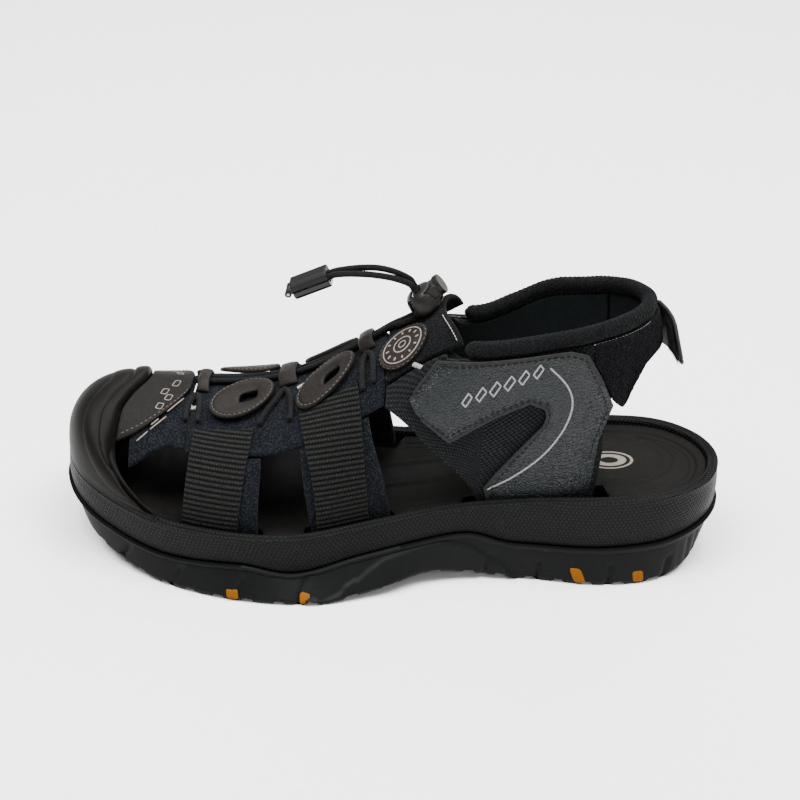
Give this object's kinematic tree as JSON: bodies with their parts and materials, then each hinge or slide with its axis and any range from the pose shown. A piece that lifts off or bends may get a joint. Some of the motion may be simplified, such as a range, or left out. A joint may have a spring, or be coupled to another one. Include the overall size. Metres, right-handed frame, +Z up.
{
  "type": "strappy sport sandal",
  "caption": "Closed-toe sport sandal for the left foot: cupped moulded sole, webbing straps, elastic lace with cord lock, and an adjustable heel strap.",
  "frame": {"origin": "middle of the sandal's footprint box on the ground (lace tails and end clip not counted)", "axes": "+X towards the heel, +Y towards the big-toe side, +Z up; the toe points along -X"},
  "size_m": [0.2812, 0.1162, 0.1277],
  "materials": {
    "rubber": "moulded, matt, fine dot texture",
    "foam": "moulded EVA foam, satin",
    "board": "stitched board, matt",
    "insert": "moulded, matt",
    "fleece": "knitted neoprene, matt",
    "suede": "grained synthetic leather, matt",
    "webbing": "ribbed nylon webbing",
    "mesh_fabric": "air mesh",
    "lining": "smooth knit lining",
    "leather": "grained synthetic leather, semi-gloss",
    "loop_tape": "brushed loop tape",
    "hook_tape": "hook tape",
    "elastic_cord": "braided elastic cord",
    "plastic": "moulded, matt",
    "gloss_plastic": "moulded, gloss",
    "steel": "bright wire"
  },
  "bodies": {
    "sandal": {"clip_base": "gloss_plastic", "clip_hinge_pin": "steel", "outsole": "rubber", "tread_insert_lateral_1": "insert", "tread_insert_lateral_2": "insert", "tread_insert_lateral_3": "insert", "tread_insert_lateral_4": "insert", "tread_insert_medial_1": "insert", "tread_insert_medial_2": "insert", "tread_insert_medial_3": "insert", "tread_insert_medial_4": "insert", "midsole": "foam", "insole_board": "board", "footbed": "foam", "toe_bumper": "rubber", "vamp_lining": "fleece", "vamp_overlay": "suede", "strap_lining_lateral_front": "fleece", "strap_web_lateral_front": "webbing", "strap_lining_medial_front": "fleece", "strap_web_medial_front": "webbing", "strap_lining_lateral_rear": "fleece", "strap_web_lateral_rear": "webbing", "strap_lining_medial_rear": "fleece", "strap_web_medial_rear": "webbing", "instep_lining": "fleece", "tongue": "fleece", "eyelet_patch_lateral_front": "suede", "eyelet_patch_medial_front": "suede", "eyelet_patch_lateral_rear": "suede", "eyelet_patch_medial_rear": "suede", "lace_loop_front": "suede", "lace_loop_middle": "suede", "lace_loop_rear": "suede", "keeper_cord_lateral_front": "elastic_cord", "keeper_cord_medial_front": "elastic_cord", "keeper_cord_lateral_middle": "elastic_cord", "keeper_cord_medial_middle": "elastic_cord", "keeper_cord_lateral_rear": "elastic_cord", "keeper_cord_medial_rear": "elastic_cord", "tongue_badge": "suede", "quarter_lining_lateral": "lining", "quarter_mesh_lateral": "mesh_fabric", "quarter_leather_lateral": "leather", "quarter_lining_medial": "lining", "quarter_mesh_medial": "mesh_fabric", "quarter_leather_medial": "leather", "collar_pad": "fleece", "heel_lining": "lining", "heel_loop_band": "loop_tape", "heel_strap_anchor": "leather", "lace": "elastic_cord", "lace_tail_1": "elastic_cord", "lace_tail_2": "elastic_cord"},
    "cord_lock": {"cord_lock_body": "plastic", "cord_lock_spring": "steel"},
    "lock_button": {"cord_lock_button": "plastic"},
    "clip_cover": {"clip_cover": "plastic"},
    "heel_flap": {"heel_strap_flap": "leather", "heel_strap_hooks": "hook_tape"}
  },
  "joints": [
    {"name": "cord_lock_slide", "type": "slide", "parent": "sandal", "child": "cord_lock", "axis": [-0.6428, 0, 0.766], "range_m": [0, 0.003]},
    {"name": "lock_button_press", "type": "slide", "parent": "cord_lock", "child": "lock_button", "axis": [-0.766, 0, -0.6428], "range_m": [0, 0.0018], "stiffness_N_per_m": 600, "deforming": ["cord_lock_spring"]},
    {"name": "clip_cover_open", "type": "hinge", "parent": "sandal", "child": "clip_cover", "pos_m": [-0.04323, -0.00133, 0.11681], "axis": [0, -1, 0], "range_deg": [0, 110]},
    {"name": "heel_flap_peel", "type": "hinge", "parent": "sandal", "child": "heel_flap", "pos_m": [0.11244, 0.01253, 0.09239], "axis": [-0.1413, -0.022, 0.9897], "range_deg": [-2, 100]}
  ]
}
